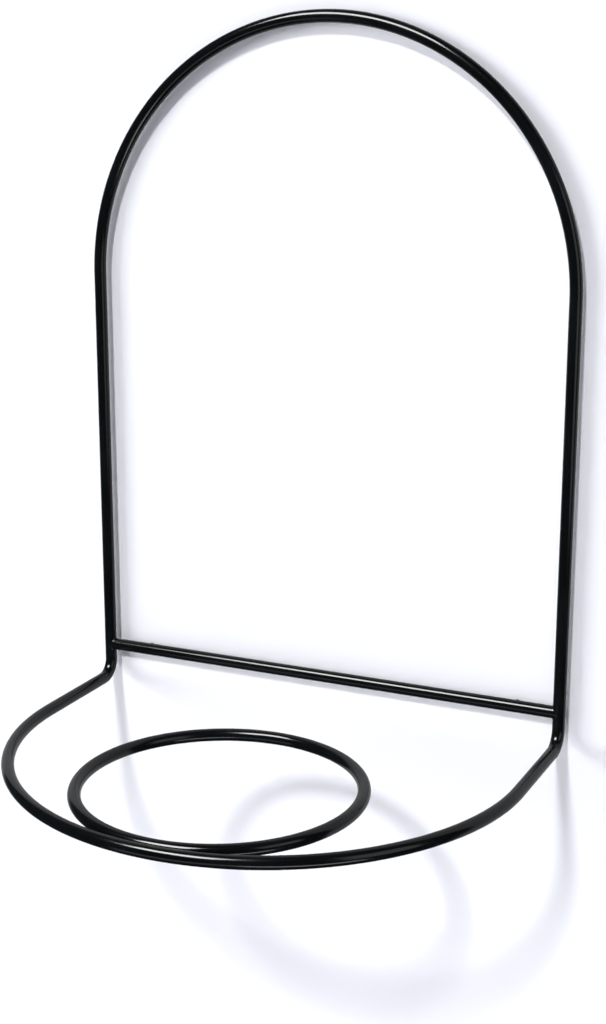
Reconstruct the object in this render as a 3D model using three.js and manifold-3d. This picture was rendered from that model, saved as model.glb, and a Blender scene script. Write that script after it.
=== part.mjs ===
// Bicycle wall rack bent and welded from round steel rod.
// An arched back frame carries a half-round shelf loop in front, a crossbar and a support ring.
// Three wall pins, each through a short collar behind the rod, enter blind holes in the rod's back.
// Millimetres, +Z up, +Y into the wall. The origin is the top pin's axis on the wall's surface.

import * as THREE from 'three';
import { mergeVertices } from 'three/addons/utils/BufferGeometryUtils.js';
import Module from 'manifold-3d';

// ---- frame ----
const ROD_DIAMETER = 12;
const ARCH_RADIUS = 244; // centreline of the arch, half the distance between the uprights
const SPRING_HEIGHT = 421; // loop plane up to the start of the arch
const BEND_RADIUS = 18; // centreline of the two lower bends
const CROSSBAR_HEIGHT = 33.5; // crossbar centreline above the loop plane
const LOOP_STRAIGHT = 120; // depth of the loop's straight sides, measured from the uprights
const RING_RADIUS = 128.8; // centreline of the support ring
const WALL_GAP = 4; // clear space between the rod and the wall
const BUTT_STUB = 3; // straight rod between a lower bend and the loop's butt weld
const WELD_GAP = 0.3; // root gap of every welded joint

// ---- fixings ----
const LOWER_PIN_INSET = 44; // from an upright's centreline to the nearest lower pin
const STANDOFF_DIAMETER = 7; // slim enough to hide behind the rod
const STANDOFF_CHAMFER = 0.3;
const PIN_DIAMETER = 4;
const PIN_CLEARANCE = 0.3;
const PIN_ENGAGEMENT = 9; // length of the plain spigot in front of the wall, through the standoff and into the rod
const PIN_CHAMFER = 0.4;
const SCREW_DIAMETER = 5; // thread crest of the part of the pin that is in the wall
const SCREW_LENGTH = 40;
const SCREW_COLLAR = 3; // plain shank between the wall's surface and the thread
const SCREW_TIP = 5;
const THREAD_PITCH = 3;
const THREAD_DEPTH = 0.7;
const HEX_ACROSS_FLATS = 2;
const HEX_DEPTH = 2;
const GRUB_DIAMETER = 3;
const GRUB_LENGTH = 2.5;
const GRUB_INSET = 7; // from the wall's surface to the grub screw's axis
const GRUB_HEX = 1.5;
const GRUB_HEX_DEPTH = 1.2;
const GRUB_CLEARANCE = 0.3;
const PLUG_DIAMETER = 8;
const PLUG_LENGTH = 34;
const PLUG_RECESS = 3; // the plug's mouth lies this far below the wall's surface
const PLUG_BARB = 0.6;
const PLUG_BARBS = 5;
const PLUG_SLIT = 1.2;
const PLUG_COLLAR = 8; // unslit length at the plug's mouth

// ---- facets ----
const ROD_SIDES = 16;
const SMALL_SIDES = 16;
const PIN_SIDES = 12;
const TOOL_SIDES = 24;
const ARC_STEPS = 48; // steps in each half circle
const BEND_STEPS = 6;
const RING_STEPS = 64;

const rodRadius = ROD_DIAMETER / 2;
const rodPlane = -(WALL_GAP + rodRadius);
const loopPlane = -(SPRING_HEIGHT + ARCH_RADIUS);
const loopFront = -(LOOP_STRAIGHT + ARCH_RADIUS);
const pinRadius = PIN_DIAMETER / 2;
const boreRadius = pinRadius + PIN_CLEARANCE;
const boreDepth = PIN_ENGAGEMENT + PIN_CLEARANCE;
const lowerPin = ARCH_RADIUS - LOWER_PIN_INSET;

const wasm = await Module();
wasm.setup();

const blackEnamel = new THREE.MeshStandardMaterial({ color: 0x0c0e10, roughness: 0.16, metalness: 0 });
const zincSteel = new THREE.MeshStandardMaterial({ color: 0xb4b9be, roughness: 0.35, metalness: 1 });
const darkSteel = new THREE.MeshStandardMaterial({ color: 0x2a2c2f, roughness: 0.4, metalness: 1 });
const greyNylon = new THREE.MeshStandardMaterial({ color: 0x8b9095, roughness: 0.6, metalness: 0 });

// ---------------------------------------------------------------- solids and cuts

function solidOf(geometry) {
  const bare = geometry.clone();
  bare.deleteAttribute('normal');
  bare.deleteAttribute('uv');
  const merged = mergeVertices(bare, 1e-4);
  return new wasm.Manifold(new wasm.Mesh({
    numProp: 3,
    vertProperties: new Float32Array(merged.attributes.position.array),
    triVerts: new Uint32Array(merged.index.array),
  }));
}

function geometryOf(solid) {
  const mesh = solid.getMesh();
  const indexed = new THREE.BufferGeometry();
  indexed.setAttribute('position', new THREE.BufferAttribute(mesh.vertProperties, 3));
  indexed.setIndex(new THREE.BufferAttribute(mesh.triVerts, 1));
  const geometry = indexed.toNonIndexed();
  geometry.computeVertexNormals();
  return geometry;
}

// A cylinder along X, Y or Z, centred on a point.
function cylinder(radius, length, axis, centre, sides = TOOL_SIDES) {
  const geometry = new THREE.CylinderGeometry(radius, radius, length, sides);
  if (axis === 'x') geometry.rotateZ(Math.PI / 2);
  if (axis === 'z') geometry.rotateX(Math.PI / 2);
  return geometry.translate(...centre);
}

function hexagonalPrism(acrossFlats, length, axis, centre) {
  return cylinder(acrossFlats / Math.sqrt(3), length, axis, centre, 6);
}

// Turns a profile of [radius, place along the axis] pairs about Y.
function turned(profile, sides = SMALL_SIDES) {
  return new THREE.LatheGeometry(profile.map(([r, y]) => new THREE.Vector2(r, y)), sides);
}

// ---------------------------------------------------------------- bent rod

// A path of straights and round bends, stepped only where it curves.
class BentPath extends THREE.Curve {
  constructor(start, heading) {
    super();
    this.points = [start.clone()];
    this.tangents = [heading.clone().normalize()];
  }

  get end() {
    return this.points[this.points.length - 1];
  }

  get heading() {
    return this.tangents[this.tangents.length - 1];
  }

  straight(length) {
    this.points.push(this.end.clone().addScaledVector(this.heading, length));
    this.tangents.push(this.heading.clone());
    return this;
  }

  // Bends towards a direction square to the heading, through an angle.
  bend(towards, radius, angle, steps) {
    const heading = this.heading.clone();
    const centre = this.end.clone().addScaledVector(towards, radius);
    for (let i = 1; i <= steps; i += 1) {
      const turn = (angle * i) / steps;
      const spoke = towards.clone().multiplyScalar(-Math.cos(turn)).addScaledVector(heading, Math.sin(turn));
      this.points.push(centre.clone().addScaledVector(spoke, radius));
      const along = heading.clone().multiplyScalar(Math.cos(turn)).addScaledVector(towards, Math.sin(turn));
      this.tangents.push(along);
    }
    return this;
  }

  get steps() {
    return this.points.length - 1;
  }

  getPoint(t) {
    return this.points[Math.round(t * this.steps)].clone();
  }

  getSpacedPoints() {
    return this.points.map((point) => point.clone());
  }

  getTangentAt(t) {
    return this.tangents[Math.round(t * this.steps)].clone();
  }
}

function rodAlong(path) {
  const section = new THREE.Shape();
  section.absarc(0, 0, rodRadius, 0, 2 * Math.PI);
  return new THREE.ExtrudeGeometry(section, {
    steps: path.steps,
    curveSegments: ROD_SIDES / 2,
    bevelEnabled: false,
    extrudePath: path,
  });
}

const left = new THREE.Vector3(-1, 0, 0);
const right = new THREE.Vector3(1, 0, 0);
const back = new THREE.Vector3(0, 1, 0);
const front = new THREE.Vector3(0, -1, 0);
const up = new THREE.Vector3(0, 0, 1);

// One rod: left lower bend, left upright, arch, right upright, right lower bend.
function backFrame() {
  const quarter = Math.PI / 2;
  const start = new THREE.Vector3(-ARCH_RADIUS, -(BEND_RADIUS + BUTT_STUB), 0);
  const path = new BentPath(start, back)
    .straight(BUTT_STUB)
    .bend(up, BEND_RADIUS, quarter, BEND_STEPS)
    .straight(SPRING_HEIGHT - BEND_RADIUS)
    .bend(right, ARCH_RADIUS, Math.PI, ARC_STEPS)
    .straight(SPRING_HEIGHT - BEND_RADIUS)
    .bend(front, BEND_RADIUS, quarter, BEND_STEPS)
    .straight(BUTT_STUB);
  return geometryOf(drilled(solidOf(rodAlong(path)), [[0, -loopPlane]]));
}

// One rod: right side, half-round front, left side, butt-welded to the back frame's two ends.
function frontLoop() {
  const inset = BEND_RADIUS + BUTT_STUB + WELD_GAP;
  const path = new BentPath(new THREE.Vector3(ARCH_RADIUS, -inset, 0), front)
    .straight(LOOP_STRAIGHT - inset)
    .bend(left, ARCH_RADIUS, Math.PI, ARC_STEPS)
    .straight(LOOP_STRAIGHT - inset);
  return rodAlong(path);
}

// What a pin and its grub screw need taken out of the rod that they hold, about the pin's axis.
function pinHole() {
  const bore = solidOf(cylinder(boreRadius, boreDepth + 1, 'y', [0, (1 - boreDepth) / 2, 0]));
  const tapping = solidOf(cylinder(
    GRUB_DIAMETER / 2 + GRUB_CLEARANCE, ROD_DIAMETER, 'z', [0, -GRUB_INSET, -rodRadius], SMALL_SIDES,
  ));
  return bore.add(tapping);
}

function drilled(rod, places) {
  return places.reduce((solid, [x, z]) => solid.subtract(pinHole().translate([x, -rodPlane, z])), rod);
}

// Its ends are coped to fit the uprights.
function crossbar() {
  const bar = solidOf(cylinder(rodRadius, 2 * ARCH_RADIUS, 'x', [0, 0, CROSSBAR_HEIGHT], SMALL_SIDES));
  const copes = [-ARCH_RADIUS, ARCH_RADIUS].map((x) => (
    solidOf(cylinder(rodRadius + WELD_GAP, 4 * ROD_DIAMETER, 'z', [x, 0, CROSSBAR_HEIGHT]))
  ));
  const coped = copes.reduce((solid, cope) => solid.subtract(cope), bar);
  return geometryOf(drilled(coped, [[-lowerPin, CROSSBAR_HEIGHT], [lowerPin, CROSSBAR_HEIGHT]]));
}

// A closed hoop welded inside the front of the loop.
function supportRing() {
  const section = [];
  for (let i = 0; i <= ROD_SIDES; i += 1) {
    const turn = (2 * Math.PI * (i % ROD_SIDES)) / ROD_SIDES;
    section.push([RING_RADIUS + rodRadius * Math.cos(turn), rodRadius * Math.sin(turn)]);
  }
  const centre = loopFront + ROD_DIAMETER + WELD_GAP + RING_RADIUS;
  return turned(section, RING_STEPS).rotateX(Math.PI / 2).translate(0, centre, 0);
}

// ---------------------------------------------------------------- fixings, each about its pin's axis

// A short collar coped to the back of the rod, which the pin passes through.
function standoff() {
  const outer = STANDOFF_DIAMETER / 2;
  const frontEnd = rodPlane + rodRadius / 2;
  const collar = solidOf(turned([
    [boreRadius, frontEnd],
    [outer, frontEnd],
    [outer, -STANDOFF_CHAMFER],
    [outer - STANDOFF_CHAMFER, 0],
    [boreRadius, 0],
    [boreRadius, frontEnd],
  ], TOOL_SIDES));
  const rod = solidOf(cylinder(rodRadius + WELD_GAP, 2 * ROD_DIAMETER, 'x', [0, rodPlane, 0]));
  return geometryOf(collar.subtract(rod));
}

// A plain spigot with a hexagon socket in front, a wood-screw thread behind.
function wallPin() {
  const crest = SCREW_DIAMETER / 2;
  const root = crest - THREAD_DEPTH;
  const profile = [
    [0, -PIN_ENGAGEMENT],
    [pinRadius - PIN_CHAMFER, -PIN_ENGAGEMENT],
    [pinRadius, PIN_CHAMFER - PIN_ENGAGEMENT],
    [pinRadius, SCREW_COLLAR],
  ];
  const threadEnd = SCREW_LENGTH - SCREW_TIP;
  for (let y = SCREW_COLLAR; y + THREAD_PITCH <= threadEnd; y += THREAD_PITCH) {
    profile.push([root, y + THREAD_PITCH / 4], [crest, y + THREAD_PITCH / 2], [root, y + 0.75 * THREAD_PITCH]);
  }
  profile.push([root, threadEnd], [0, SCREW_LENGTH]);
  const socketCentre = HEX_DEPTH / 2 - PIN_ENGAGEMENT - 1;
  const socket = hexagonalPrism(HEX_ACROSS_FLATS, HEX_DEPTH + 2, 'y', [0, socketCentre, 0]);
  return geometryOf(solidOf(turned(profile, PIN_SIDES)).subtract(solidOf(socket)));
}

// Clamps the rod on its pin from below.
function grubScrew() {
  const top = -(pinRadius + GRUB_CLEARANCE);
  const y = -GRUB_INSET;
  const body = cylinder(GRUB_DIAMETER / 2, GRUB_LENGTH, 'z', [0, y, top - GRUB_LENGTH / 2], SMALL_SIDES);
  const mouth = top - GRUB_LENGTH;
  const socket = hexagonalPrism(GRUB_HEX, 2 * GRUB_HEX_DEPTH, 'z', [0, y, mouth]);
  return geometryOf(solidOf(body).subtract(solidOf(socket)));
}

// A barbed sleeve, slit from its inner end so that the screw can spread it.
function wallPlug() {
  const inner = SCREW_DIAMETER / 2 + PIN_CLEARANCE;
  const outer = PLUG_DIAMETER / 2;
  const mouth = PLUG_RECESS;
  const tip = PLUG_RECESS + PLUG_LENGTH;
  const pitch = (PLUG_LENGTH - PLUG_COLLAR) / PLUG_BARBS;
  const profile = [[inner, mouth], [outer, mouth], [outer, mouth + PLUG_COLLAR]];
  for (let i = 0; i < PLUG_BARBS; i += 1) {
    const y = mouth + PLUG_COLLAR + i * pitch;
    profile.push([outer - PLUG_BARB, y], [outer, y + 0.8 * pitch]);
  }
  profile.push([outer - PLUG_BARB, tip], [inner, tip], [inner, mouth]);
  const slitLength = PLUG_LENGTH - PLUG_COLLAR;
  const slit = new THREE.BoxGeometry(2 * PLUG_DIAMETER, slitLength, PLUG_SLIT)
    .translate(0, tip - slitLength / 2 + PLUG_BARB, 0);
  return geometryOf(solidOf(turned(profile, SMALL_SIDES)).subtract(solidOf(slit)));
}

// ---------------------------------------------------------------- assembly

function piece(name, geometry, material) {
  const mesh = new THREE.Mesh(geometry, material);
  mesh.name = name;
  return mesh;
}

function weldedFrame() {
  const group = new THREE.Group();
  group.add(
    piece('back_frame_rod', backFrame(), blackEnamel),
    piece('front_loop_rod', frontLoop(), blackEnamel),
    piece('crossbar', crossbar(), blackEnamel),
    piece('support_ring', supportRing(), blackEnamel),
  );
  group.position.set(0, rodPlane, loopPlane);
  return group;
}

function fixing(place, x, z) {
  const group = new THREE.Group();
  group.add(
    piece(`${place}_standoff`, standoff(), blackEnamel),
    piece(`${place}_wall_pin`, wallPin(), zincSteel),
    piece(`${place}_grub_screw`, grubScrew(), darkSteel),
    piece(`${place}_wall_plug`, wallPlug(), greyNylon),
  );
  group.position.set(x, 0, z);
  return group;
}

const rack = new THREE.Group();
rack.add(
  weldedFrame(),
  fixing('top', 0, 0),
  fixing('lower_left', -lowerPin, loopPlane + CROSSBAR_HEIGHT),
  fixing('lower_right', lowerPin, loopPlane + CROSSBAR_HEIGHT),
);

export default rack;
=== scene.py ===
"""Bicycle wall rack of bent round rod, finished in gloss black powder enamel.

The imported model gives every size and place. Each rod, bush, pin, screw and plug is modelled
again here as a smooth piece, and the welds that fuse the rods are added.
"""
import logging
import math
from dataclasses import dataclass
from enum import Enum
from typing import Any, Callable, Iterable, Sequence

import bpy
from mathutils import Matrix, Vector


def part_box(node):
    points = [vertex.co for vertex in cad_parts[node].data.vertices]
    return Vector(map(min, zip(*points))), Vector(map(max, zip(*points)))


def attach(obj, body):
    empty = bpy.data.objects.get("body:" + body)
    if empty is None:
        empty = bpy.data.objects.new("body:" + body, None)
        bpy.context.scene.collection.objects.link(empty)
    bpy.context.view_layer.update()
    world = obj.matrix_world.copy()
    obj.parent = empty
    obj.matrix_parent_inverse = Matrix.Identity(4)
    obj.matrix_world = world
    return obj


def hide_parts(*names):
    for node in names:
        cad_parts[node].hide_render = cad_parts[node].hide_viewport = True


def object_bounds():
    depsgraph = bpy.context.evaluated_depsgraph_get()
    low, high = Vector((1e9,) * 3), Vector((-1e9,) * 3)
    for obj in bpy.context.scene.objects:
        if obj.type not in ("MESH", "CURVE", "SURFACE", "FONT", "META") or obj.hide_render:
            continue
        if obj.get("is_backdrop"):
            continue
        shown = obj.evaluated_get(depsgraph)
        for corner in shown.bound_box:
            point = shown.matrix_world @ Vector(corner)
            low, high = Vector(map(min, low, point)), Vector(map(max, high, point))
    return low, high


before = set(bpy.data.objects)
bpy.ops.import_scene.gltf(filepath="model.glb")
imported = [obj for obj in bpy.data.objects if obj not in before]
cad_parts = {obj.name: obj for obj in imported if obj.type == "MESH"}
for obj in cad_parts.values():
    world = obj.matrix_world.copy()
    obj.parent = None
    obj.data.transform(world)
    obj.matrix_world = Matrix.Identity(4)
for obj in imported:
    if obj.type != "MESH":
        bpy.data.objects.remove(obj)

LOG = logging.getLogger("wall_rack")
BODY = "root"
MM = 0.001
QUARTER_TURN = math.pi / 2
HALF_TURN = math.pi
FULL_TURN = 2 * math.pi
LEFT = Vector((-1, 0, 0))
RIGHT = Vector((1, 0, 0))
FRONT = Vector((0, -1, 0))
BACK = Vector((0, 1, 0))
UP = Vector((0, 0, 1))
DOWN = Vector((0, 0, -1))


class Slot(Enum):
    """The record's material slots."""

    BLACK_ENAMEL = "black_enamel"
    ZINC_STEEL = "zinc_steel"
    DARK_STEEL = "dark_steel"
    GREY_NYLON = "grey_nylon"


class Side(Enum):
    """Which half of the rack a piece belongs to, as the sign of its X."""

    LEFT = -1
    RIGHT = 1


# ---------------------------------------------------------------- shader nodes


class Signal:
    """An output socket that can be used in arithmetic."""

    def __init__(self, board: "NodeBoard", socket: bpy.types.NodeSocket) -> None:
        """Wraps a socket.

        Args:
            board: The board that new Math nodes are added to.
            socket: The output socket.
        """
        self.board = board
        self.socket = socket

    def _maths(self, operation: str, first: Any, second: Any = 0.0) -> "Signal":
        """Adds a Math node on two values.

        Args:
            operation: The Math node's operation.
            first: A Signal or a number.
            second: A Signal or a number.

        Returns:
            The node's output.
        """
        return self.board.add("ShaderNodeMath", {"operation": operation}, {0: first, 1: second})

    def __add__(self, other: Any) -> "Signal":
        """Self plus other."""
        return self._maths("ADD", self, other)

    def __radd__(self, other: Any) -> "Signal":
        """Other plus self."""
        return self._maths("ADD", other, self)

    def __sub__(self, other: Any) -> "Signal":
        """Self minus other."""
        return self._maths("SUBTRACT", self, other)

    def __rsub__(self, other: Any) -> "Signal":
        """Other minus self."""
        return self._maths("SUBTRACT", other, self)

    def __mul__(self, other: Any) -> "Signal":
        """Self times other."""
        return self._maths("MULTIPLY", self, other)

    def __rmul__(self, other: Any) -> "Signal":
        """Other times self."""
        return self._maths("MULTIPLY", other, self)

    def between(self, low: float, high: float) -> "Signal":
        """How far the value is from low to high, smoothed and kept from 0 to 1.

        Args:
            low: The value that gives 0.
            high: The value that gives 1.

        Returns:
            The new value.
        """
        settings = {"interpolation_type": "SMOOTHSTEP"}
        return self.board.add("ShaderNodeMapRange", settings, {"Value": self, "From Min": low, "From Max": high})


class NodeBoard:
    """A node tree, with the few calls that the finishes need."""

    def __init__(self, tree: bpy.types.NodeTree) -> None:
        """Clears a tree.

        Args:
            tree: A new material's or world's node tree.
        """
        self.tree = tree
        self.tree.nodes.clear()

    def feed(self, socket: bpy.types.NodeSocket, value: Any) -> None:
        """Links or sets an input socket.

        Args:
            socket: The input.
            value: A Signal, a number, or a tuple of numbers.
        """
        if isinstance(value, Signal):
            self.tree.links.new(value.socket, socket)
        else:
            socket.default_value = value

    def add(self, kind: str, settings: dict[str, Any], inputs: dict[Any, Any], output: Any = 0) -> Signal:
        """Adds any node.

        Args:
            kind: The node's type.
            settings: The node's properties, set first.
            inputs: Values or Signals for its input sockets, by name or number.
            output: The wanted output socket.

        Returns:
            That output.
        """
        node = self.tree.nodes.new(kind)
        for key, value in settings.items():
            setattr(node, key, value)
        for key, value in inputs.items():
            self.feed(node.inputs[key], value)
        return Signal(self, None if output is None else node.outputs[output])

    def place(self, stretch: Sequence[float] = (1, 1, 1)) -> Signal:
        """Object coordinates in metres.

        Args:
            stretch: The pattern's scale along each axis.

        Returns:
            The vector.
        """
        coordinates = self.add("ShaderNodeTexCoord", {}, {}, "Object")
        return self.add("ShaderNodeMapping", {}, {"Vector": coordinates, "Scale": tuple(stretch)})

    def noise(self, place: Signal, grain: float, detail: float = 2.0, rough: float = 0.5) -> Signal:
        """Smooth noise.

        Args:
            place: The coordinates.
            grain: The size of its features, in metres.
            detail: The number of finer layers.
            rough: How strong the finer layers are.

        Returns:
            A value near 0.5, from 0 to 1.
        """
        inputs = {"Vector": place, "Scale": 1 / grain, "Detail": detail, "Roughness": rough}
        return self.add("ShaderNodeTexNoise", {}, inputs, "Fac")

    def blend(self, amount: Any, first: Any, second: Any) -> Signal:
        """Mixes two colours.

        Args:
            amount: 0 for the first, 1 for the second.
            first: A colour.
            second: A colour.

        Returns:
            The mixed colour.
        """
        inputs = {"Factor": amount, 6: self.colour(first), 7: self.colour(second)}
        return self.add("ShaderNodeMix", {"data_type": "RGBA", "clamp_factor": True}, inputs, 2)

    @staticmethod
    def colour(value: Any) -> Any:
        """Gives a plain colour its alpha, and leaves a Signal as it is."""
        return value if isinstance(value, Signal) else (*value, 1.0)

    def relief(self, height: Signal, depth: float, base: Any = None) -> Signal:
        """Bumps the surface.

        Args:
            height: The height, from 0 to 1.
            depth: What a height of 1 is, in metres.
            base: A normal to bump further.

        Returns:
            The normal.
        """
        inputs = {"Height": height, "Distance": depth, "Strength": 1.0}
        if base is not None:
            inputs["Normal"] = base
        return self.add("ShaderNodeBump", {}, inputs)



class Paintwork:
    """A new material with a Principled shader."""

    def __init__(self, name: str) -> None:
        """Makes the material.

        Args:
            name: The material's name.
        """
        self.material = bpy.data.materials.new(name)
        self.material.use_nodes = True
        self.board = NodeBoard(self.material.node_tree)

    def finish(self, **inputs: Any) -> Signal:
        """Feeds the Principled shader.

        Args:
            **inputs: Values by input name, with an underscore for each space.

        Returns:
            The shader.
        """
        named = {name.replace("_", " "): value for name, value in inputs.items()}
        return self.board.add("ShaderNodeBsdfPrincipled", {}, named)

    def show(self, surface: Signal) -> bpy.types.Material:
        """Makes a shader the material's surface, and returns the material."""
        self.board.add("ShaderNodeOutputMaterial", {}, {"Surface": surface}, None)
        return self.material


# ---------------------------------------------------------------- finishes


@dataclass(frozen=True)
class PowderEnamel:
    """Gloss black powder coat, baked on steel: near black, with a fine orange peel and a trace of dust."""

    deep: tuple[float, float, float] = (0.0012, 0.0017, 0.0020)
    worn: tuple[float, float, float] = (0.0030, 0.0038, 0.0044)
    dust: tuple[float, float, float] = (0.030, 0.032, 0.035)
    cloud_size: float = 60 * MM
    peel_size: float = 2.4 * MM
    peel_depth: float = 0.012 * MM
    grain_size: float = 0.5 * MM
    grain_depth: float = 0.0016 * MM
    roughness: float = 0.10

    def build(self) -> bpy.types.Material:
        """Makes the material."""
        work = Paintwork("black_enamel")
        board = work.board
        place = board.place()
        cloud = board.noise(place, self.cloud_size, 3.0)
        peel = board.noise(place, self.peel_size, 1.5, 0.45)
        grain = board.noise(place, self.grain_size, 2.0, 0.6)
        normal = board.add("ShaderNodeNewGeometry", {}, {}, "Normal")
        upward = board.add("ShaderNodeSeparateXYZ", {}, {0: normal}, "Z").between(0.55, 1.0)
        specks = board.noise(place, 0.9 * MM, 4.0, 0.7).between(0.56, 0.78)
        drift = board.noise(place, 25 * MM, 2.0).between(0.35, 0.75)
        film = upward * drift * (0.04 + 0.14 * specks)
        body = board.blend(cloud.between(0.3, 0.75), self.deep, self.worn)
        skin = board.blend(film, body, self.dust)
        rough = self.roughness + 0.07 * cloud.between(0.3, 0.8) + 0.05 * grain + 0.35 * film
        bumps = board.relief(grain, self.grain_depth, board.relief(peel, self.peel_depth))
        return work.show(work.finish(Base_Color=skin, Roughness=rough, Normal=bumps, IOR=1.5))


@dataclass(frozen=True)
class ZincPlate:
    """Bright zinc plate, with drawn lines along the pin and a faint blue and straw cast."""

    silver: tuple[float, float, float] = (0.60, 0.63, 0.66)
    straw: tuple[float, float, float] = (0.66, 0.62, 0.50)
    blue: tuple[float, float, float] = (0.46, 0.52, 0.62)
    roughness: float = 0.24

    def build(self) -> bpy.types.Material:
        """Makes the material."""
        work = Paintwork("zinc_steel")
        board = work.board
        place = board.place()
        lines = board.noise(board.place((1, 0.05, 1)), 0.12 * MM, 3.0, 0.6)
        cast = board.noise(place, 3 * MM, 2.0)
        pits = board.noise(place, 0.35 * MM, 3.0, 0.65)
        warm = board.blend(cast.between(0.45, 0.75), self.silver, self.straw)
        tint = board.blend((1 - cast).between(0.5, 0.8), warm, self.blue)
        rough = self.roughness + 0.16 * pits + 0.1 * lines
        bumps = board.relief(lines, 0.004 * MM, board.relief(pits, 0.006 * MM))
        return work.show(work.finish(Base_Color=tint, Roughness=rough, Metallic=1.0, Normal=bumps))


@dataclass(frozen=True)
class BlackOxide:
    """Blackened steel of the grub screws, rubbed bright in places."""

    black: tuple[float, float, float] = (0.022, 0.022, 0.024)
    rubbed: tuple[float, float, float] = (0.20, 0.20, 0.20)
    roughness: float = 0.38

    def build(self) -> bpy.types.Material:
        """Makes the material."""
        work = Paintwork("dark_steel")
        board = work.board
        place = board.place()
        wear = board.noise(place, 0.6 * MM, 4.0, 0.7)
        grain = board.noise(place, 0.08 * MM, 2.0)
        tint = board.blend(wear.between(0.55, 0.8), self.black, self.rubbed)
        rough = self.roughness + 0.2 * grain - 0.12 * wear
        bumps = board.relief(grain, 0.003 * MM)
        return work.show(work.finish(Base_Color=tint, Roughness=rough, Metallic=1.0, Normal=bumps))


@dataclass(frozen=True)
class MouldedNylon:
    """Grey moulded nylon of the wall plugs: milky, with a spark-eroded grain."""

    pale: tuple[float, float, float] = (0.30, 0.315, 0.325)
    dark: tuple[float, float, float] = (0.22, 0.235, 0.245)
    roughness: float = 0.46

    def build(self) -> bpy.types.Material:
        """Makes the material."""
        work = Paintwork("grey_nylon")
        board = work.board
        place = board.place()
        flow = board.noise(board.place((1, 0.25, 1)), 4 * MM, 3.0)
        grain = board.noise(place, 0.18 * MM, 3.0, 0.6)
        tint = board.blend(flow.between(0.3, 0.75), self.dark, self.pale)
        rough = self.roughness + 0.18 * grain
        bumps = board.relief(grain, 0.012 * MM)
        return work.show(work.finish(Base_Color=tint, Roughness=rough, Normal=bumps))


@dataclass(frozen=True)
class RoomPaint:
    """Flat white paint of the wall and the floor."""

    name: str
    tone: tuple[float, float, float]
    one_sided: bool = False

    def build(self) -> bpy.types.Material:
        """Makes the material. A one-sided wall can't be seen from behind."""
        work = Paintwork(self.name)
        board = work.board
        place = board.place()
        mottle = board.noise(place, 0.35, 4.0)
        grain = board.noise(place, 3 * MM, 3.0)
        shade = tuple(0.985 * c for c in self.tone)
        tint = board.blend(mottle.between(0.3, 0.7), shade, self.tone)
        paint = work.finish(Base_Color=tint, Roughness=0.85, Normal=board.relief(grain, 0.02 * MM))
        if not self.one_sided:
            return work.show(paint)
        behind = board.add("ShaderNodeNewGeometry", {}, {}, "Backfacing")
        clear = board.add("ShaderNodeBsdfTransparent", {}, {})
        return work.show(board.add("ShaderNodeMixShader", {}, {0: behind, 1: paint, 2: clear}))


# ---------------------------------------------------------------- the workbench


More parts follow.
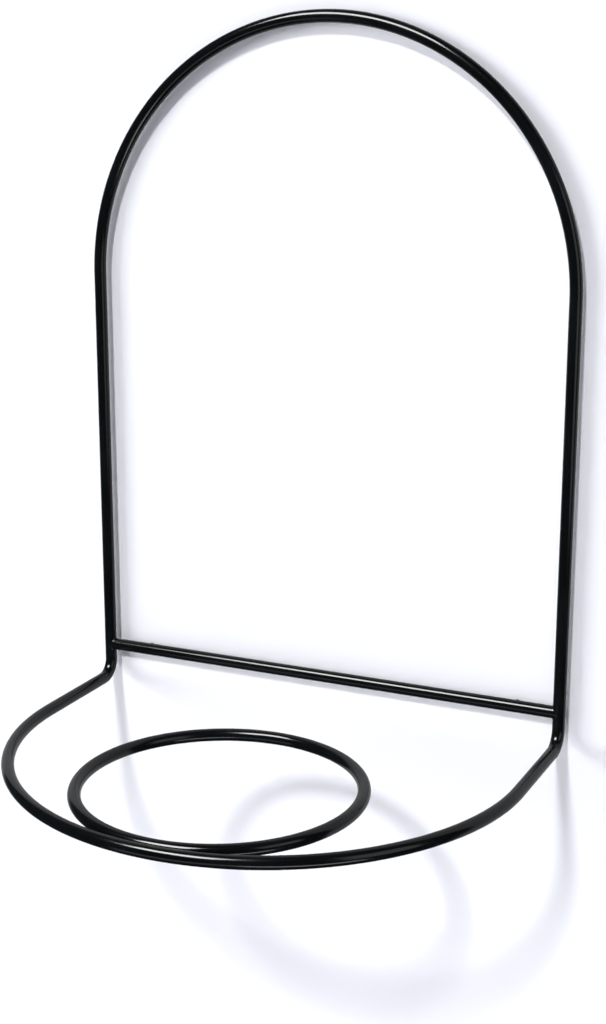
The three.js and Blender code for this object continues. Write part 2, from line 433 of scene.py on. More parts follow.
class Bench:
    """Modelling steps on the piece in hand."""

    SMOOTH_ANGLE = math.radians(32)
    TOUCHING = 0.002 * MM

    def __init__(self, name: str) -> None:
        """Starts a piece from the object that was added last.

        Args:
            name: The piece's name.
        """
        self.piece = bpy.context.object
        self.piece.name = name
        self.piece.data.name = name

    @staticmethod
    def clear() -> None:
        """Deselects everything, in object mode."""
        if bpy.context.object and bpy.context.object.mode != "OBJECT":
            bpy.ops.object.mode_set(mode="OBJECT")
        bpy.ops.object.select_all(action="DESELECT")

    @classmethod
    def ring(cls, name: str, sides: int, radius: float, centre: Vector, facing: Vector) -> "Bench":
        """Starts a piece from an open circle of edges.

        Args:
            name: The piece's name.
            sides: The number of edges.
            radius: The circle's radius.
            centre: Its centre.
            facing: The direction square to it.

        Returns:
            The bench, in edit mode, with the circle selected.
        """
        cls.clear()
        turn = facing.to_track_quat("Z", "Y").to_euler()
        bpy.ops.mesh.primitive_circle_add(
            vertices=sides, radius=radius, fill_type="NOTHING", location=centre, rotation=turn
        )
        bench = cls(name)
        bench.settle()
        bpy.ops.object.mode_set(mode="EDIT")
        bpy.ops.mesh.select_mode(type="VERT")
        bpy.ops.mesh.select_all(action="SELECT")
        return bench

    def settle(self) -> None:
        """Moves the object to the origin, unturned and unscaled, with its place in its mesh."""
        self.clear()
        self.piece.select_set(True)
        bpy.context.view_layer.objects.active = self.piece
        bpy.ops.object.transform_apply(location=True, rotation=True, scale=True)

    def push(self, along: Vector, length: float) -> "Bench":
        """Extrudes the selected ring straight."""
        bpy.ops.mesh.extrude_region_move(TRANSFORM_OT_translate={"value": along * length})
        return self

    def bend(self, centre: Vector, heading: Vector, towards: Vector, angle: float, steps: int) -> "Bench":
        """Spins the selected ring round a bend.

        Args:
            centre: The bend's centre.
            heading: The rod's direction where the bend starts.
            towards: The direction that it bends to.
            angle: How far, in radians.
            steps: How many steps.

        Returns:
            The bench.
        """
        bpy.ops.mesh.spin(steps=steps, angle=angle, center=centre, axis=towards.cross(heading))
        return self

    def resize(self, factor: float, centre: Vector) -> "Bench":
        """Extrudes the selected ring in its own plane and scales it about a centre."""
        bpy.ops.mesh.extrude_region_move(TRANSFORM_OT_translate={"value": (0, 0, 0)})
        bpy.ops.transform.resize(value=(factor,) * 3, center_override=centre)
        return self

    def turn_profile(self, profile: Iterable[tuple[float, float]], origin: Vector, along: Vector) -> "Bench":
        """Carries the selected ring through a turned profile.

        Args:
            profile: The next stations, each as a radius and a place along the axis.
            origin: The axis' zero.
            along: The axis' direction.

        Returns:
            The bench.
        """
        radius, place = self.station(origin, along)
        for new_radius, new_place in profile:
            self.push(along, new_place - place)
            centre = origin + along * new_place
            bpy.ops.transform.resize(value=(new_radius / radius,) * 3, center_override=centre)
            radius, place = new_radius, new_place
        return self

    def station(self, origin: Vector, along: Vector) -> tuple[float, float]:
        """The selected ring's radius and place along an axis."""
        self.piece.update_from_editmode()
        chosen = [v.co for v in self.piece.data.vertices if v.select]
        place = (chosen[0] - origin).dot(along)
        radius = (chosen[0] - origin - along * place).length
        return radius, place

    def cap(self) -> "Bench":
        """Fills every open end."""
        bpy.ops.mesh.select_all(action="DESELECT")
        bpy.ops.mesh.select_mode(type="EDGE")
        bpy.ops.mesh.select_non_manifold(extend=False)
        bpy.ops.mesh.edge_face_add()
        return self

    def close(self) -> "Bench":
        """Merges doubled points and turns every face outwards."""
        bpy.ops.mesh.select_all(action="SELECT")
        bpy.ops.mesh.remove_doubles(threshold=self.TOUCHING)
        bpy.ops.mesh.normals_make_consistent(inside=False)
        bpy.ops.object.mode_set(mode="OBJECT")
        return self

    def chamfer(self, width: float, steps: int, wanted: Callable[[Vector, Vector], bool]) -> "Bench":
        """Bevels chosen edges.

        Args:
            width: The bevel's width.
            steps: Its segments.
            wanted: Says of an edge's two ends whether it is bevelled.

        Returns:
            The bench.
        """
        self.clear()
        bpy.context.view_layer.objects.active = self.piece
        mesh = self.piece.data
        for element in (*mesh.polygons, *mesh.edges, *mesh.vertices):
            element.select = False
        for edge in mesh.edges:
            ends = [mesh.vertices[i].co for i in edge.vertices]
            edge.select = wanted(*ends)
        bpy.ops.object.mode_set(mode="EDIT")
        bpy.ops.mesh.select_mode(type="EDGE")
        bpy.ops.mesh.bevel(offset=width, segments=steps, affect="EDGES")
        bpy.ops.object.mode_set(mode="OBJECT")
        return self

    def cut(self, cutter: "Bench") -> "Bench":
        """Takes another closed piece's shape away, and deletes that piece."""
        self.clear()
        bpy.context.view_layer.objects.active = self.piece
        modifier = self.piece.modifiers.new("cut", "BOOLEAN")
        modifier.operation = "DIFFERENCE"
        modifier.solver = "EXACT"
        modifier.object = cutter.piece
        bpy.ops.object.modifier_apply(modifier=modifier.name)
        bpy.data.objects.remove(cutter.piece)
        return self

    def copy(self, name: str, offset: Vector) -> "Bench":
        """Makes another of the piece, with its own mesh.

        Args:
            name: The new piece's name.
            offset: How far away it is.

        Returns:
            The new piece's bench.
        """
        self.clear()
        self.piece.select_set(True)
        bpy.context.view_layer.objects.active = self.piece
        bpy.ops.object.duplicate()
        twin = Bench(name)
        twin.piece.location = offset
        twin.settle()
        return twin

    def join(self, extra: "Bench") -> "Bench":
        """Joins another piece's mesh to this one."""
        self.clear()
        extra.piece.select_set(True)
        self.piece.select_set(True)
        bpy.context.view_layer.objects.active = self.piece
        bpy.ops.object.join()
        return self

    def shape(self, place: Callable[[int], Vector]) -> "Bench":
        """Moves every point to a place worked out from its number."""
        for vertex in self.piece.data.vertices:
            vertex.co = place(vertex.index)
        self.piece.data.update()
        return self

    def deliver(self, material: bpy.types.Material, slot: Slot, stands_for: Sequence[str] = ()) -> bpy.types.Object:
        """Args:
            material: Its finish.
            slot: The record's slot for that finish; not used.
            stands_for: The CAD nodes that it replaces.

        Returns:
            The finished object.
        """
        self.clear()
        self.piece.select_set(True)
        bpy.context.view_layer.objects.active = self.piece
        bpy.ops.object.shade_smooth_by_angle(angle=self.SMOOTH_ANGLE)
        self.piece.data.materials.clear()
        self.piece.data.materials.append(material)
        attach(self.piece, BODY)
        if stands_for:
            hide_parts(*stands_for)
        self.clear()
        LOG.info("%s: %d faces", self.piece.name, len(self.piece.data.polygons))
        return self.piece


def solid_rod(name: str, sides: int, radius: float, start: Vector, along: Vector, length: float) -> Bench:
    """Makes a plain closed length of round rod.

    Args:
        name: The piece's name.
        sides: Its number of sides.
        radius: Its radius.
        start: The centre of its first end.
        along: Its direction.
        length: Its length.

    Returns:
        The bench, in object mode.
    """
    return Bench.ring(name, sides, radius, start, along).push(along, length).cap().close()


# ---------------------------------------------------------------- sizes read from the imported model


@dataclass(frozen=True)
class RackSizes:
    """The rack's driving sizes, read from the boxes of the CAD nodes."""

    rod: float
    plane: float
    arch: float
    loop_level: float
    loop_front: float
    butt: float
    bar_level: float
    ring: float
    ring_centre: float
    stub: float = 3 * MM

    @classmethod
    def measure(cls) -> "RackSizes":
        """Reads the boxes."""
        bar_low, bar_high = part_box("crossbar")
        back_low, back_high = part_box("back_frame_rod")
        loop_low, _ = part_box("front_loop_rod")
        ring_low, ring_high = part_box("support_ring")
        rod = (bar_high.z - bar_low.z) / 2
        return cls(
            rod=rod,
            plane=(bar_high.y + bar_low.y) / 2,
            arch=(back_high.x - back_low.x) / 2 - rod,
            loop_level=back_low.z + rod,
            loop_front=loop_low.y + rod,
            butt=back_low.y,
            bar_level=(bar_high.z + bar_low.z) / 2,
            ring=(ring_high.x - ring_low.x) / 2 - rod,
            ring_centre=(ring_high.y + ring_low.y) / 2,
        )

    @property
    def bend(self) -> float:
        """The lower bends' centreline radius."""
        return self.plane - self.butt - self.stub

    @property
    def spring(self) -> float:
        """The height where the arch starts, its crown being level with the origin."""
        return -self.arch

    @property
    def loop_spring(self) -> float:
        """The depth where the loop's half round starts."""
        return self.loop_front + self.arch


@dataclass(frozen=True)
class PinHole:
    """The blind hole for a wall pin, and the tapped hole below it for its grub screw."""

    axis: Vector
    bore: float
    floor: float
    tapping: float
    tapping_place: float
    reach: float = 12 * MM

    @classmethod
    def measure(cls, place: str, spigot: float = 2 * MM, clearance: float = 0.12 * MM) -> "PinHole":
        """Reads a fixing's boxes.

        Args:
            place: The fixing's place.
            spigot: The radius of the pin's plain front.
            clearance: The gap round it.

        Returns:
            The hole.
        """
        pin_low, pin_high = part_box(f"{place}_wall_pin")
        grub_low, grub_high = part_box(f"{place}_grub_screw")
        return cls(
            axis=Vector(((pin_low.x + pin_high.x) / 2, 0, (pin_low.z + pin_high.z) / 2)),
            bore=spigot + clearance,
            floor=pin_low.y - clearance,
            tapping=(grub_high.x - grub_low.x) / 2 + clearance / 2,
            tapping_place=(grub_low.y + grub_high.y) / 2,
        )

    def drill(self, rod: "Bench") -> None:
        """Takes both holes out of a rod."""
        bottom = self.axis + BACK * self.floor
        rod.cut(solid_rod("bore", 32, self.bore, bottom, BACK, self.reach))
        mouth = self.axis + BACK * self.tapping_place
        rod.cut(solid_rod("tapping", 32, self.tapping, mouth, DOWN, self.reach))


# ---------------------------------------------------------------- the welded frame


@dataclass
class WeldedFrame:
    """The four rods."""

    sizes: RackSizes
    enamel: bpy.types.Material
    sides: int = 48
    arch_steps: int = 160
    bend_steps: int = 24
    ring_steps: int = 192
    cope_sides: int = 96
    cope_gap: float = 0.02 * MM
    patch: float = 3.2 * MM
    weld_zone: float = 2.0 * MM

    def build(self) -> None:
        """Builds the rods in the order in which they are welded."""
        self.back_frame()
        self.front_loop()
        self.crossbar()
        self.support_ring()

    def back_frame(self) -> None:
        """The back rod: a lower bend, an upright, the arch, the other upright and its bend."""
        s = self.sizes
        start = Vector((-s.arch, s.butt, s.loop_level))
        left_foot = Vector((-s.arch, s.plane - s.bend, s.loop_level + s.bend))
        right_foot = Vector((s.arch, s.plane - s.bend, s.loop_level + s.bend))
        crown = Vector((0, s.plane, s.spring))
        upright = s.spring - s.loop_level - s.bend
        rod = Bench.ring("back_frame", self.sides, s.rod, start, BACK)
        rod.push(BACK, s.stub)
        rod.bend(left_foot, BACK, UP, QUARTER_TURN, self.bend_steps)
        rod.push(UP, upright)
        rod.bend(crown, UP, RIGHT, HALF_TURN, self.arch_steps)
        rod.push(DOWN, upright)
        rod.bend(right_foot, DOWN, FRONT, QUARTER_TURN, self.bend_steps)
        rod.push(FRONT, s.stub)
        rod.cap().close()
        PinHole.measure("top").drill(rod)
        rod.deliver(self.enamel, Slot.BLACK_ENAMEL, ["back_frame_rod"])

    def front_loop(self) -> None:
        """The front rod: a straight side, the half round and the other side."""
        s = self.sizes
        start = Vector((s.arch, s.butt, s.loop_level))
        centre = Vector((0, s.loop_spring, s.loop_level))
        side = s.butt - s.loop_spring
        rod = Bench.ring("front_loop", self.sides, s.rod, start, FRONT)
        rod.push(FRONT, side)
        rod.bend(centre, FRONT, LEFT, HALF_TURN, self.arch_steps)
        rod.push(BACK, side)
        rod.cap().close().deliver(self.enamel, Slot.BLACK_ENAMEL, ["front_loop_rod"])

    def crossbar(self) -> None:
        """The straight bar, coped round the uprights, with short faces where it is drilled and coped."""
        s = self.sizes
        holes = [PinHole.measure(f"lower_{side.name.lower()}") for side in Side]
        here = -s.arch
        bar = Bench.ring("crossbar_rod", self.sides, s.rod, Vector((here, s.plane, s.bar_level)), RIGHT)
        end = s.arch - s.rod - self.weld_zone
        patches = [hole.axis.x + step for hole in holes for step in (-self.patch, self.patch)]
        for stop in (-end, *patches, end, s.arch):
            bar.push(RIGHT, stop - here)
            here = stop
        bar.cap().close()
        for hole in holes:
            hole.drill(bar)
        for side in Side:
            foot = Vector((side.value * s.arch, s.plane, s.bar_level - 3 * s.rod))
            radius = s.rod + self.cope_gap
            bar.cut(solid_rod("cope", self.cope_sides, radius, foot, UP, 6 * s.rod))
        bar.deliver(self.enamel, Slot.BLACK_ENAMEL, ["crossbar"])

    def support_ring(self) -> None:
        """The closed hoop inside the loop."""
        s = self.sizes
        centre = Vector((0, s.ring_centre, s.loop_level))
        start = centre + RIGHT * s.ring
        hoop = Bench.ring("ring_hoop", self.sides, s.rod, start, BACK)
        hoop.bend(centre, BACK, LEFT, FULL_TURN, self.ring_steps)
        hoop.close().deliver(self.enamel, Slot.BLACK_ENAMEL, ["support_ring"])


# ---------------------------------------------------------------- welds


@dataclass
class Fillet:
    """A weld fillet: what a ball leaves as it rolls along the corner between two surfaces.

    The ball's centre and the two directions from it to the surfaces are given for each turn round the joint.
    """

    name: str
    radius: float
    ball: Callable[[float], tuple[Vector, Vector, Vector]]
    around: int = 96
    across: int = 6
    sunk: float = 0.35 * MM

    def build(self, enamel: bpy.types.Material) -> None:
        """Makes the closed bead from a torus, whose points are moved on to the rolled surface."""
        Bench.clear()
        minor = self.across + 4
        bpy.ops.mesh.primitive_torus_add(
            major_segments=self.around, minor_segments=minor, major_radius=1.0, minor_radius=0.1
        )
        bead = Bench(self.name)

        def place(number: int) -> Vector:
            """The place of one point."""
            centre, first, second = self.ball(FULL_TURN * (number // minor) / self.around)
            step = number % minor
            if step <= self.across:
                return centre + self.radius * first.slerp(second, step / self.across)
            inner = {1: (second, self.sunk), 2: (first + second, self.sunk), 3: (first, self.sunk)}
            direction, depth = inner[step - self.across]
            reach = self.radius + depth
            return centre + direction * reach

        bead.shape(place)
        bpy.context.view_layer.objects.active = bead.piece
        bpy.ops.object.mode_set(mode="EDIT")
        bead.close().deliver(enamel, Slot.BLACK_ENAMEL)


@dataclass
class Welds:
    """Every weld that shows: crossbar ends, butt joints, the ring's tangent joint and the standoffs' feet."""

    sizes: RackSizes
    enamel: bpy.types.Material
    standoffs: dict[str, tuple[Vector, Vector]]
    bar_fillet: float = 1.6 * MM
    foot_fillet: float = 0.8 * MM
    band_width: float = 2.6 * MM
    band_height: float = 0.12 * MM
    groove_ball: float = 2.0 * MM
    groove_length: float = 15 * MM

    def build(self) -> None:
        """Builds all of them."""
        for side in Side:
            self.bar_end(side)
            self.butt_band(side)
        self.ring_bead("upper", 1)
        self.ring_bead("lower", -1)
        for place, box in self.standoffs.items():
            self.foot(place, box)

    def bar_end(self, side: Side) -> None:
        """The fillet round a coped end of the crossbar."""
        s = self.sizes
        reach = s.rod + self.bar_fillet

        def ball(turn: float) -> tuple[Vector, Vector, Vector]:
            """Where the ball touches both rods."""
            across, high = math.sin(turn), math.cos(turn)
            centre = Vector((side.value * (s.arch - reach * abs(high)), s.plane + reach * across, s.bar_level + reach * high))
            return centre, Vector((0, -across, -high)), Vector((side.value * abs(high), -across, 0))

        Fillet(f"bar_weld_{side.name.lower()}", self.bar_fillet, ball).build(self.enamel)

    def foot(self, place: str, box: tuple[Vector, Vector]) -> None:
        """The fillet where a standoff meets the back of its rod."""
        s = self.sizes
        low, high_corner = box
        bush = (high_corner.x - low.x) / 2
        axis_x, axis_z = (low.x + high_corner.x) / 2, (low.z + high_corner.z) / 2
        reach, rod_reach = bush + self.foot_fillet, s.rod + self.foot_fillet

        def ball(turn: float) -> tuple[Vector, Vector, Vector]:
            """Where the ball touches the bush and the rod."""
            across, high = math.cos(turn), math.sin(turn)
            rise = reach * high
            depth = math.sqrt(rod_reach**2 - rise**2)
            centre = Vector((axis_x + reach * across, s.plane + depth, axis_z + rise))
            return centre, Vector((-across, 0, -high)), Vector((0, -depth, -rise)).normalized()

        Fillet(f"{place}_foot_weld", self.foot_fillet, ball).build(self.enamel)

    def butt_band(self, side: Side) -> None:
        """The ground butt weld between the back frame and the front loop: a band hardly proud of the rod."""
        s = self.sizes
        along = FRONT
        start = Vector((side.value * s.arch, s.butt + self.band_width, s.loop_level))
        rise = (s.rod - 0.1 * MM, s.rod + 0.6 * self.band_height, s.rod + self.band_height)
        steps = [0.25, 0.5, 0.85]
        profile = [(r, -self.band_width * (1 - t)) for r, t in zip(rise, steps)]
        profile += [(r, self.band_width * (1 - t)) for r, t in zip(reversed(rise), reversed(steps))]
        profile += [(s.rod - 0.4 * MM, self.band_width)]
        middle = Vector((side.value * s.arch, s.butt, s.loop_level))
        band = Bench.ring(f"butt_weld_{side.name.lower()}", 48, s.rod - 0.4 * MM, start, along)
        band.turn_profile(profile, middle, along).cap().close().deliver(self.enamel, Slot.BLACK_ENAMEL)

    def ring_bead(self, name: str, up: int) -> None:
        """The bead in the groove between the ring and the loop's front, where they touch."""
        s = self.sizes
        stations, across = 24, 16
        Bench.clear()
        bpy.ops.mesh.primitive_torus_add(
            major_segments=2 * stations, minor_segments=across, major_radius=1.0, minor_radius=0.1
        )
        bead = Bench(f"ring_weld_{name}")

        def place(number: int) -> Vector:
            """The place of one point, from its turn along the bead and its turn round the section."""
            along = FULL_TURN * (number // across) / (2 * stations)
            x = self.groove_length * math.cos(along)
            inner_y = s.ring_centre - math.sqrt(s.ring**2 - x**2)
            outer_y = s.loop_spring - math.sqrt(s.arch**2 - x**2)
            half = (inner_y - outer_y) / 2
            middle = (inner_y + outer_y) / 2
            ball = self.groove_ball * abs(math.sin(along)) + half - s.rod + 0.05 * MM
            height = math.sqrt(max((s.rod + ball) ** 2 - half**2, 0))
            reach = math.atan2(height, half)
            share = (number % across) / across
            swing = math.cos(FULL_TURN * share)
            depth = max(math.sin(FULL_TURN * share), 0)
            y = middle + swing * (half - (s.rod - 0.15 * MM) * math.cos(reach))
            top = (s.rod - 0.15 * MM) * math.sin(reach)
            sag = (1 - swing**2) * 0.35 * ball
            z = top - sag if depth == 0 else (top - sag) - depth * min(1.6 * MM, 0.6 * top)
            return Vector((x, y, s.loop_level + up * z))

        bead.shape(place)
        bpy.context.view_layer.objects.active = bead.piece
        bpy.ops.object.mode_set(mode="EDIT")
        bead.close().deliver(self.enamel, Slot.BLACK_ENAMEL)


# ---------------------------------------------------------------- wall fixings


@dataclass
class WallFixings:
    """The collar behind the rod, the wall pin, its grub screw and its plug, made once and copied to each place."""

    sizes: RackSizes
    finishes: dict[Slot, bpy.types.Material]
    places: Sequence[str]
    sides: int = 48
    spigot: float = 2 * MM
    clearance: float = 0.12 * MM
    chamfer: float = 0.3 * MM
    pitch: float = 2.2 * MM
    thread_depth: float = 0.75 * MM
    tip: float = 6 * MM
    hex_socket: float = 2.0 * MM
    grub_hex: float = 1.5 * MM
    slit: float = 1.1 * MM
    collar: float = 8 * MM
    barb: float = 0.65 * MM
    rows: int = 5

    @property
    def pattern(self) -> str:
        """The place whose fixing is modelled."""
        return self.places[0]

    def axis(self, place: str) -> Vector:
        """The middle of a place's pin hole in the wall's surface."""
        return PinHole.measure(place).axis

    def box(self, node: str) -> tuple[Vector, Vector]:
        """The box of one of the modelled fixing's CAD nodes."""
        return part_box(f"{self.pattern}_{node}")

    def build(self) -> None:
        """Makes the four pieces, and a copy of each for every other place."""
        made = (
            (self.bush(), "bush", "standoff", Slot.BLACK_ENAMEL),
            (self.pin(), "pin", "wall_pin", Slot.ZINC_STEEL),
            (self.grub_screw(), "grub", "grub_screw", Slot.DARK_STEEL),
            (self.plug(), "plug", "wall_plug", Slot.GREY_NYLON),
        )
        for bench, part, node, slot in made:
            for place in self.places[1:]:
                offset = self.axis(place) - self.axis(self.pattern)
                twin = bench.copy(f"{place}_{part}", offset)
                twin.deliver(self.finishes[slot], slot, [f"{place}_{node}"])
            bench.deliver(self.finishes[slot], slot, [f"{self.pattern}_{node}"])

    def bush(self) -> Bench:
        """The collar: chamfered at the wall, bored for the pin and coped to the rod."""
        low, high = self.box("standoff")
        origin = self.axis(self.pattern)
        outer = (high.x - low.x) / 2
        bore = self.spigot + self.clearance
        front = low.y - MM
        edge = self.chamfer
        collar = Bench.ring(f"{self.pattern}_bush", self.sides, bore, origin + BACK * front, BACK)
        profile = [
            (outer, front),
            (outer, high.y - edge),
            (outer - 0.3 * edge, high.y - 0.3 * edge),
            (outer - edge, high.y),
            (bore + 0.5 * edge, high.y),
            (bore, high.y - 0.5 * edge),
            (bore, front),
        ]
        collar.turn_profile(profile, origin, BACK).close()
        s = self.sizes
        rod_start = Vector((origin.x - 2 * s.rod, s.plane, origin.z))
        return collar.cut(solid_rod("cope", 96, s.rod - 0.02 * MM, rod_start, RIGHT, 4 * s.rod))

    def pin(self) -> Bench:
        """The pin: a plain spigot with a hexagon socket, and a wood-screw thread behind it."""
        low, high = self.box("wall_pin")
        origin = self.axis(self.pattern)
        crest = (high.x - low.x) / 2
        root = crest - self.thread_depth
        start = origin + BACK * low.y
        edge = 0.35 * MM
        shoulder = self.box("wall_plug")[0].y
        profile = [
            (self.spigot, low.y + edge),
            (self.spigot, shoulder),
            (root, shoulder + 0.8 * MM),
            (root, high.y - self.tip),
            (0.5 * root, high.y - 0.3 * self.tip),
            (0.03 * MM, high.y),
        ]
        core = Bench.ring(f"{self.pattern}_pin", self.sides, self.spigot - edge, start, BACK)
        core.turn_profile(profile, origin, BACK).cap().close()
        core.cut(solid_rod("socket", 6, self.hex_socket / math.sqrt(3), start + FRONT * MM, BACK, 3 * MM))
        ridge = self.thread(root, crest, shoulder + 0.9 * MM, high.y - 0.35 * self.tip)
        return core.join(ridge)

    def thread(self, root: float, crest: float, start: float, end: float) -> Bench:
        """A helical ridge, swept by a Screw modifier and tapered with the pin's point.

        Args:
            root: The pin's radius between the ridges.
            crest: The ridge's outer radius.
            start: Where it starts, along the pin.
            end: Where it ends.

        Returns:
            The bench, in object mode.
        """
        inner = root - 0.15 * MM
        half = 0.42 * MM
        length = end - start
        turns = length / self.pitch
        Bench.clear()
        bpy.ops.mesh.primitive_circle_add(vertices=3, radius=half, fill_type="NGON")
        ridge = Bench("ridge")
        corners = (Vector((inner, 0, -half)), Vector((crest, 0, 0)), Vector((inner, 0, half)))
        ridge.shape(lambda number: corners[number])
        screw = ridge.piece.modifiers.new("screw", "SCREW")
        screw.axis = "Z"
        screw.angle = FULL_TURN * turns
        screw.screw_offset = length
        screw.steps = screw.render_steps = round(turns * 28)
        bpy.ops.object.modifier_apply(modifier=screw.name)
        origin = self.axis(self.pattern)
        swept = [vertex.co.copy() for vertex in ridge.piece.data.vertices]

        def place(number: int) -> Vector:
            """Lays the sweep along the pin and lets it run out at both ends."""
            x, y, z = swept[number]
            radius = math.hypot(x, y)
            run_out = min(1.0, (length - z) / self.tip + 0.15, z / self.pitch + 0.25)
            wanted = inner + (radius - inner) * max(run_out, 0.02)
            wanted *= 1 - 0.5 * max(0.0, 1 - (length - z) / (0.65 * self.tip))
            return origin + Vector((x * wanted / radius, start + z, -y * wanted / radius))

        ridge.shape(place)
        bpy.ops.object.mode_set(mode="EDIT")
        return ridge.cap().close()

    def grub_screw(self) -> Bench:
        """The headless screw, with chamfered ends and a hexagon socket."""
        low, high = self.box("grub_screw")
        radius = (high.x - low.x) / 2
        top = Vector((self.axis(self.pattern).x, (low.y + high.y) / 2, high.z))
        length = high.z - low.z
        edge = 0.25 * MM
        screw = Bench.ring(f"{self.pattern}_grub", self.sides, radius - edge, top, DOWN)
        profile = [(radius, edge), (radius, length - edge), (radius - edge, length)]
        screw.turn_profile(profile, top, DOWN).cap().close()
        hole = top + DOWN * (length + MM)
        return screw.cut(solid_rod("socket", 6, self.grub_hex / math.sqrt(3), hole, UP, 2.2 * MM))

    def plug(self) -> Bench:
        """The nylon plug: a collar, rows of barbs, a bore and a slit that lets it spread."""
        low, high = self.box("wall_plug")
        origin = self.axis(self.pattern)
        outer = (high.x - low.x) / 2
        pin_low, pin_high = self.box("wall_pin")
        bore = (pin_high.x - pin_low.x) / 2 + self.clearance
        row = (high.y - low.y - self.collar) / self.rows
        profile = [(outer - 0.2 * MM, low.y), (outer, low.y + 0.2 * MM), (outer, low.y + self.collar)]
        for i in range(self.rows):
            foot = low.y + self.collar + i * row
            crest = outer - 0.1 * MM
            profile += [(outer - self.barb, foot + 0.15 * MM), (crest, foot + 0.8 * row), (crest, foot + row - 0.3 * MM)]
        profile += [(outer - 1.4 * self.barb, high.y), (bore, high.y), (bore, low.y)]
        sleeve = Bench.ring(f"{self.pattern}_plug", self.sides, bore, origin + BACK * low.y, BACK)
        sleeve.turn_profile(profile, origin, BACK).close()
        slot = high.y - low.y - self.collar
        Bench.clear()
        bpy.ops.mesh.primitive_cube_add(size=1.0, location=origin + BACK * (high.y - slot / 2 + MM))
        blade = Bench("slit")
        blade.piece.scale = (4 * outer, slot, self.slit)
        blade.settle()
        return sleeve.cut(blade)


# ---------------------------------------------------------------- room, lights and camera


@dataclass
class Lamp:
    """Any of the studio's lights, named by the direction that it shines from."""

    name: str
    azimuth: float
    elevation: float

    def hang(self, data: bpy.types.Light, target: Vector, distance: float, mirrored: bool) -> None:
        """Hangs a light, facing its target.

        Args:
            data: The light.
            target: What it faces.
            distance: How far away it hangs.
            mirrored: Whether it is only mirrored in gloss, or else only lights matt surfaces.
        """
        lamp = bpy.data.objects.new(self.name, data)
        direction = heading(math.radians(self.azimuth), math.radians(self.elevation))
        lamp.location = target + direction * distance
        lamp.rotation_euler = direction.to_track_quat("Z", "Y").to_euler()
        lamp.visible_camera = False
        lamp.visible_glossy = mirrored
        lamp.visible_diffuse = not mirrored
        bpy.context.scene.collection.objects.link(lamp)


@dataclass
class WideLight(Lamp):
    """Soft light from far off, even over the whole wall."""

    spread: float
    strength: float

    def build(self, target: Vector) -> None:
        """Adds the light."""
        data = bpy.data.lights.new(self.name, "SUN")
        data.angle = math.radians(self.spread)
        data.energy = self.strength
        self.hang(data, target, 4.0, mirrored=False)


@dataclass
class Softbox(Lamp):
    """A near panel of light, set up for its reflection in the enamel."""

    distance: float
    size: tuple[float, float]
    power: float

    def build(self, target: Vector) -> None:
        """Adds the light."""
        data = bpy.data.lights.new(self.name, "AREA")
        data.shape = "RECTANGLE"
        data.size, data.size_y = self.size
        data.energy = self.power
        self.hang(data, target, self.distance, mirrored=True)


def heading(azimuth: float, elevation: float) -> Vector:
    """The direction from the rack to a place in front of it.

    Args:
        azimuth: The angle to the right of straight in front.
        elevation: The angle above level.

    Returns:
        A vector of length 1.
    """
    level = math.cos(elevation)
    return Vector((math.sin(azimuth) * level, -math.cos(azimuth) * level, math.sin(elevation)))


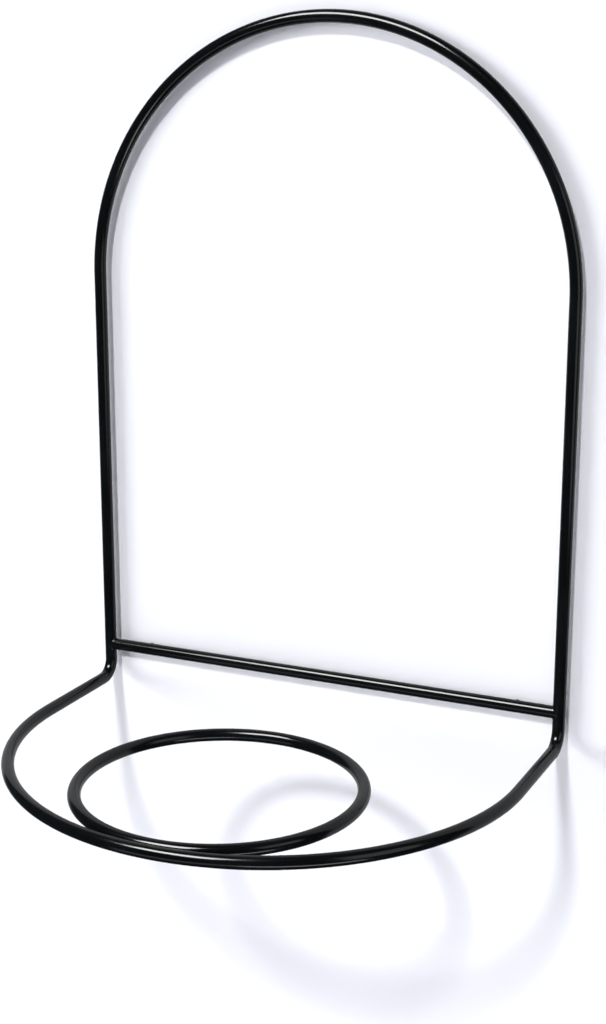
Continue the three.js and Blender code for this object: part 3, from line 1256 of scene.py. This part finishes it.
@dataclass
class Studio:
    """A white wall behind the rack, a pale floor far below it, soft lights and the camera."""

    sizes: RackSizes
    floor_drop: float = 0.62
    wall_half: float = 12.0
    azimuth: float = math.radians(24.98)
    elevation: float = math.radians(14.98)
    distance: float = 1.7157
    aim: tuple[float, float] = (-0.0276, 0.1786)
    lens: float = 61.42
    shift: tuple[float, float] = (0.00564, 0.01987)
    backdrop: tuple[float, float, float] = (0.90, 0.91, 0.93)
    gloom: tuple[float, float, float] = (0.040, 0.046, 0.052)

    def build(self) -> None:
        """Builds the room."""
        self.wall()
        self.floor()
        self.world()
        self.lamps()
        self.camera()

    def panel(self, name: str, centre: Vector, facing: Vector, paint: RoomPaint) -> None:
        """Adds a large flat panel of the room, which the gloss mirrors only as the softboxes stand in for it.

        Args:
            name: Its name.
            centre: Its centre.
            facing: The direction that its front faces.
            paint: Its finish.
        """
        Bench.clear()
        turn = facing.to_track_quat("Z", "Y").to_euler()
        bpy.ops.mesh.primitive_plane_add(size=2 * self.wall_half, location=centre, rotation=turn)
        bench = Bench(name)
        bench.settle()
        bench.piece.data.materials.append(paint.build())
        bench.piece.visible_glossy = False
        bench.piece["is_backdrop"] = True

    def wall(self) -> None:
        """The wall that the rack hangs on, seen only from the front."""
        level = self.sizes.loop_level - self.floor_drop
        centre = Vector((0, 0, level + self.wall_half))
        self.panel("room_wall", centre, FRONT, RoomPaint("wall_paint", (0.86, 0.865, 0.92), one_sided=True))

    def floor(self) -> None:
        """The floor."""
        level = self.sizes.loop_level - self.floor_drop
        self.panel("room_floor", Vector((0, 0, level)), UP, RoomPaint("floor_paint", (0.78, 0.78, 0.79)))

    def world(self) -> None:
        """A pale backdrop, in a room that is otherwise dim."""
        world = bpy.data.worlds.new("studio")
        world.use_nodes = True
        board = NodeBoard(world.node_tree)
        seen = board.add("ShaderNodeLightPath", {}, {}, "Is Camera Ray")
        sky = board.add("ShaderNodeBackground", {}, {"Color": board.blend(seen, self.gloom, self.backdrop)})
        board.add("ShaderNodeOutputWorld", {}, {"Surface": sky}, None)
        bpy.context.scene.world = world
        view = bpy.context.scene.view_settings
        view.view_transform = "Standard"
        view.look = "None"

    def lamps(self) -> None:
        """Wide soft lights that draw the shadows on the wall, and the softboxes that the enamel mirrors."""
        target = Vector((0, self.sizes.plane, self.sizes.loop_level / 2))
        WideLight("core", -4.5, 40.5, 6.6, 1.95).build(target)
        WideLight("left", -54, 4, 34, 2.70).build(target)
        WideLight("front", 0, 5, 60, 0.20).build(target)
        Softbox("key_box", -22, 47, 2.6, (1.6, 1.0), 98.0).build(target)
        Softbox("strip_box", 66, 7, 2.2, (1.2, 1.8), 5.0).build(target)
        Softbox("low_box", -10, -38, 2.0, (1.6, 0.5), 2.0).build(target)
        Softbox("low_side_box", 37, -42, 2.0, (1.3, 0.35), 5.0).build(target)
        Softbox("wall_glow", 180, 0, 0.35, (3.0, 2.4), 9.0).build(target)

    def camera(self) -> None:
        """The camera, to the right of the rack and a little above it."""
        data = bpy.data.cameras.new("camera")
        data.lens = self.lens
        data.sensor_width = 36.0
        data.shift_x, data.shift_y = self.shift
        data.clip_start, data.clip_end = 0.01, 50.0
        camera = bpy.data.objects.new("camera", data)
        back = heading(self.azimuth, self.elevation)
        target = Vector((self.aim[0], self.sizes.plane, self.sizes.loop_level + self.aim[1]))
        camera.location = target + back * self.distance
        camera.rotation_euler = back.to_track_quat("Z", "Y").to_euler()
        bpy.context.scene.collection.objects.link(camera)
        bpy.context.scene.camera = camera


# ---------------------------------------------------------------- the whole rack


def corners(box: tuple[Vector, Vector]) -> list[list[float]]:
    """A box's two corners as plain lists."""
    return [list(map(float, corner)) for corner in box]


def main() -> None:
    """Builds the rack and its studio."""
    logging.basicConfig(level=logging.INFO, format="%(name)s %(message)s")
    cad_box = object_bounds()
    sizes = RackSizes.measure()
    LOG.info("sizes %s", sizes)
    Studio(sizes).build()
    finishes = {
        Slot.BLACK_ENAMEL: PowderEnamel().build(),
        Slot.ZINC_STEEL: ZincPlate().build(),
        Slot.DARK_STEEL: BlackOxide().build(),
        Slot.GREY_NYLON: MouldedNylon().build(),
    }
    WeldedFrame(sizes, finishes[Slot.BLACK_ENAMEL]).build()
    places = ("top", "lower_left", "lower_right")
    WallFixings(sizes, finishes, places).build()
    Welds(sizes, finishes[Slot.BLACK_ENAMEL], {p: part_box(f"{p}_standoff") for p in places}).build()
    {"cad": corners(cad_box), "visual": corners(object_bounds())}


if __name__ == "__main__":
    main()
